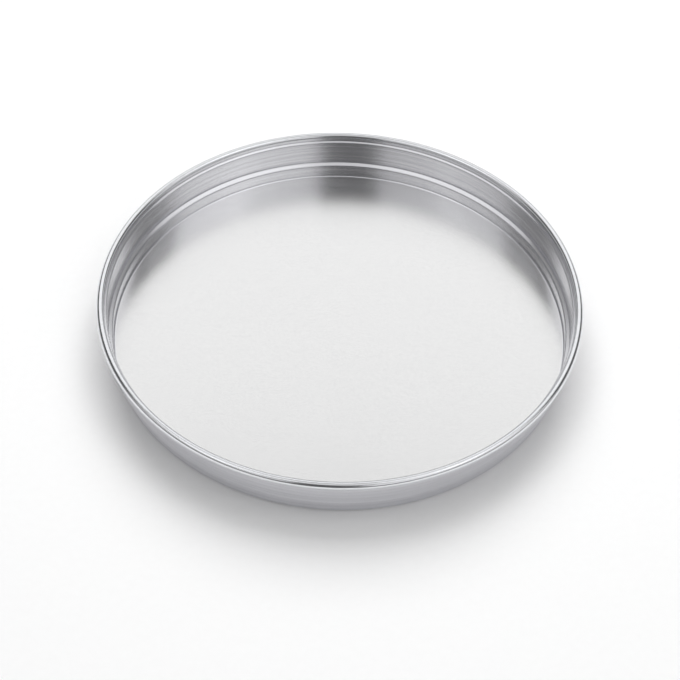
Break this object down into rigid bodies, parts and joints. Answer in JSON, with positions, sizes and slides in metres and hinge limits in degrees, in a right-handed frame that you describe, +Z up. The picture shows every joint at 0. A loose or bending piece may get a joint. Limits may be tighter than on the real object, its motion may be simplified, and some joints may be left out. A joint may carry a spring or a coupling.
{
  "type": "round cake pan",
  "caption": "Shallow round cake pan in spun aluminium, with a stacking step in the wall and a rolled rim stiffened by a wire.",
  "frame": {"origin": "centre of the underside of the base", "axes": "+Z up through the open top, on the pan's axis; X and Y are any two directions across it, because the pan is round"},
  "size_m": [0.36, 0.36, 0.04],
  "materials": {
    "spun_aluminium": "bare aluminium sheet, satin on the floor and spun bright on the wall and rim",
    "galvanised_wire": "dull zinc on drawn steel wire"
  },
  "bodies": {
    "root": {"pan_body": "spun_aluminium", "rim_wire": "galvanised_wire"}
  },
  "joints": []
}
